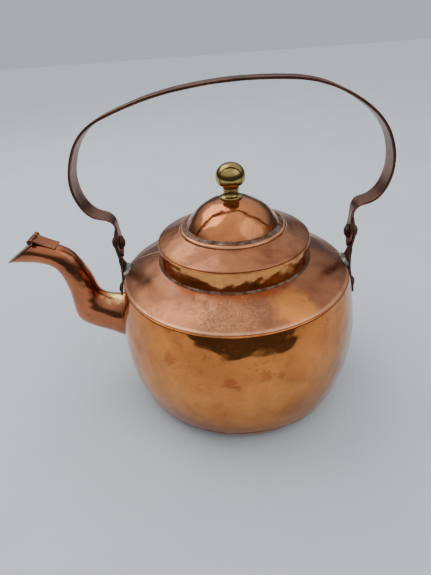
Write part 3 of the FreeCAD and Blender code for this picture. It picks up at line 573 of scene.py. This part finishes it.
def knob_skin():
    """Brass knob turned in one: foot, waist, throat ring and slightly flattened ball."""
    top = high("knob").z
    ball_r = high("knob").x
    ball_half_h = 10.9 * MM
    ball_h = top - ball_half_h
    foot_h = ball_h - 17.9 * MM
    centre_h = DOME_TOP_H - DOME_SPHERE_R
    waist_r, throat_r, stud_r, seat_gap = 6.2 * MM, 9.6 * MM, 2.5 * MM, 0.05 * MM
    waist = (waist_r, foot_h + 6.6 * MM)
    ridge = (waist_r + 0.55 * MM, foot_h + 6.9 * MM)
    throat = (throat_r, foot_h + 11.6 * MM)
    foot_side = (KNOB_FOOT_R, foot_h + 0.3 * MM)
    foot_bulge = (KNOB_FOOT_R + 0.5 * MM, foot_h + 1.2 * MM)
    foot_top = (KNOB_FOOT_R - 0.6 * MM, foot_h + 1.9 * MM)
    seat = round_points(DOME_SPHERE_R, DOME_SPHERE_R + seat_gap, centre_h,
                        math.acos(stud_r / DOME_SPHERE_R), math.acos(KNOB_FOOT_R / DOME_SPHERE_R), 8)
    rim = bezier_points(foot_side, foot_bulge, foot_top, 6)
    flare = bezier_points(foot_top, (waist_r, foot_h + 2.6 * MM), waist, 12)
    neck = bezier_points(ridge, (waist_r + 0.2 * MM, foot_h + 9.8 * MM), throat, 12)
    start = math.atan2((throat[1] - ball_h) / ball_half_h, throat[0] / ball_r)
    ball = round_points(ball_r, ball_half_h, ball_h, start, math.pi / 2, 60)
    stud_low = low("knob").z
    outline = [(0, stud_low), (stud_r, stud_low)] + seat + rim + flare[1:] + neck + ball[1:]
    piece = lathe("skin_knob", outline, step=0.35 * MM, segments=160,
                  wobble=ripples((0.015 * MM, 8 * MM, 61)))
    dress(piece, "lid", "brass", "knob")


# ---- forged pieces -------------------------------------------------------------------------------

FORGED = [
    # node, body, slot, material, voxel, (size, wavelength, seed) layers
    ("spout", "kettle", "spout_copper", "spout", 0.55, [(0.12, 24, 71), (0.04, 9, 72)]),
    ("spout_flange", "kettle", "worn_copper", "spout", 0.35, [(0.06, 8, 73)]),
    ("handle_strap", "handle", "handle_copper", "handle", 0.4, [(0.04, 26, 74), (0.02, 9, 75)]),
    ("front_ear", "kettle", "dark_copper", "dark", 0.35, [(0.12, 11, 76), (0.05, 4, 77)]),
    ("rear_ear", "kettle", "dark_copper", "dark", 0.35, [(0.12, 11, 78), (0.05, 4, 79)]),
    ("front_ear_rivet", "kettle", "dark_copper", "dark", 0.25, [(0.12, 5, 80)]),
    ("rear_ear_rivet", "kettle", "dark_copper", "dark", 0.25, [(0.12, 5, 81)]),
    ("front_pivot_rivet", "kettle", "dark_copper", "dark", 0.2, [(0.03, 5, 82)]),
    ("rear_pivot_rivet", "kettle", "dark_copper", "dark", 0.2, [(0.03, 5, 83)]),
    ("front_pivot_washer", "kettle", "dark_copper", "dark", 0.2, [(0.01, 5, 84)]),
    ("rear_pivot_washer", "kettle", "dark_copper", "dark", 0.2, [(0.01, 5, 85)]),
    ("front_ear_solder", "kettle", "tin_solder", "solder", 0.25, [(0.20, 5, 86), (0.08, 2, 87)]),
    ("rear_ear_solder", "kettle", "tin_solder", "solder", 0.25, [(0.20, 5, 88), (0.08, 2, 89)]),
    ("hinge_leaf", "kettle", "dark_copper", "spout", 0.25, [(0.06, 6, 90)]),
    ("spout_flap", "flap", "dark_copper", "handle", 0.25, [(0.05, 7, 91)]),
]


def forged_skins():
    for node, body, slot, material, voxel, layers in FORGED:
        scaled = [(size * MM, wavelength * MM, seed) for size, wavelength, seed in layers]
        piece = forged(node, voxel * MM, scaled)
        dress(piece, body, material, node)


def paint_nodes():
    """CAD nodes that show as they are."""
    looks = {"shoulder_seam": "braze", "neck_solder": "seam", "dome_solder": "seam",
             "lid_flange": "lid", "hinge_pin": "dark", "knob_washer": "braze", "knob_nut": "brass"}
    for node, material in looks.items():
        mesh = frame["nodes"][node].data
        mesh.materials.clear()
        mesh.materials.append(MATERIALS[material])


# ---- studio --------------------------------------------------------------------------------------

def floor():
    """A pale floor that ends a little in front, so that the metal has something dark to reflect."""
    paint = Paint("pale_floor")
    cloth = paint.noise(9.0, 3.0)
    colour = paint.ramp(cloth, [(0.3, (0.70, 0.75, 0.79)), (0.7, (0.74, 0.79, 0.83))])
    rough = paint.ramp(cloth, [(0.0, 0.85), (1.0, 0.95)])
    material = paint.finish(colour, rough, paint.noise(160.0), 0.2 * MM, metallic=0.0)
    far, near_half_w, front, drop = 6.0, 0.55, -0.42, -0.05 * MM
    corners = [(-near_half_w, front, drop), (near_half_w, front, drop), (far, far, drop), (-far, far, drop)]
    piece = new_mesh("studio_floor", corners, [(0, 1, 2, 3)])
    piece.data.materials.append(material)


def world():
    """Soft light from above over a dark horizon. The camera sees a plain pale grey instead."""
    made = bpy.data.worlds.new("studio_world")
    bpy.context.scene.world = made
    made.use_nodes = True
    nodes, links = made.node_tree.nodes, made.node_tree.links
    output = nodes["World Output"]
    seen, lit = nodes["Background"], nodes.new("ShaderNodeBackground")
    seen.inputs["Color"].default_value = (0.47, 0.52, 0.56, 1)
    way = nodes.new("ShaderNodeTexCoord").outputs["Generated"]
    split = nodes.new("ShaderNodeSeparateXYZ")
    links.new(way, split.inputs[0])
    ramp = nodes.new("ShaderNodeValToRGB")
    links.new(split.outputs["Z"], ramp.inputs["Fac"])
    stops = [(0.0, (0.10, 0.10, 0.12)), (0.2, (0.13, 0.13, 0.14)), (0.5, (0.80, 0.84, 0.88)),
             (1.0, (1.15, 1.18, 1.22))]
    elements = ramp.color_ramp.elements
    while len(elements) < len(stops):
        elements.new(0.5)
    for element, (position, colour) in zip(elements, stops):
        element.position = position
        element.color = (*colour, 1)
    links.new(ramp.outputs["Color"], lit.inputs["Color"])
    lit.inputs["Strength"].default_value = 0.9
    path = nodes.new("ShaderNodeLightPath")
    blend = nodes.new("ShaderNodeMixShader")
    links.new(path.outputs["Is Camera Ray"], blend.inputs[0])
    links.new(lit.outputs[0], blend.inputs[1])
    links.new(seen.outputs[0], blend.inputs[2])
    links.new(blend.outputs[0], output.inputs["Surface"])


def area_light(name, place, target, size, power):
    data = bpy.data.lights.new(name, "AREA")
    data.shape = "RECTANGLE"
    data.size, data.size_y = size
    data.energy = power
    lamp = bpy.data.objects.new(name, data)
    way = Vector(target) - Vector(place)
    lamp.matrix_world = Matrix.Translation(place) @ way.to_track_quat("-Z", "Y").to_matrix().to_4x4()
    bpy.context.scene.collection.objects.link(lamp)


def camera():
    """A hand-held view from in front and above, a little rolled."""
    yaw, pitch, roll = math.radians(-3.38), math.radians(32.96), math.radians(-4.39)
    ahead = Vector((math.sin(yaw) * math.cos(pitch), math.cos(yaw) * math.cos(pitch), -math.sin(pitch)))
    right = Vector((math.cos(yaw), -math.sin(yaw), 0))
    up = right.cross(ahead)
    image_right = right * math.cos(roll) + up * math.sin(roll)
    image_up = up * math.cos(roll) - right * math.sin(roll)
    data = bpy.data.cameras.new("camera")
    data.sensor_fit = "VERTICAL"
    data.sensor_height = 36.0
    data.lens = 25.04
    made = bpy.data.objects.new("camera", data)
    turn = Matrix((image_right, image_up, -ahead)).transposed()
    made.matrix_world = Matrix.Translation((0, -0.319, 0.307)) @ turn.to_4x4()
    bpy.context.scene.collection.objects.link(made)
    bpy.context.scene.camera = made


body_skins()
shoulder_skin()
collar_skin()
lid_plate_skin()
lid_bead_skin()
lid_dome_skin()
knob_skin()
forged_skins()
paint_nodes()
floor()
world()
area_light("key", place=(-0.7, 0.5, 1.3), target=(0, 0, 0.1), size=(1.3, 1.0), power=8)
area_light("fill", place=(0.9, -0.5, 1.2), target=(0, 0, 0.1), size=(1.0, 1.0), power=2)
camera()
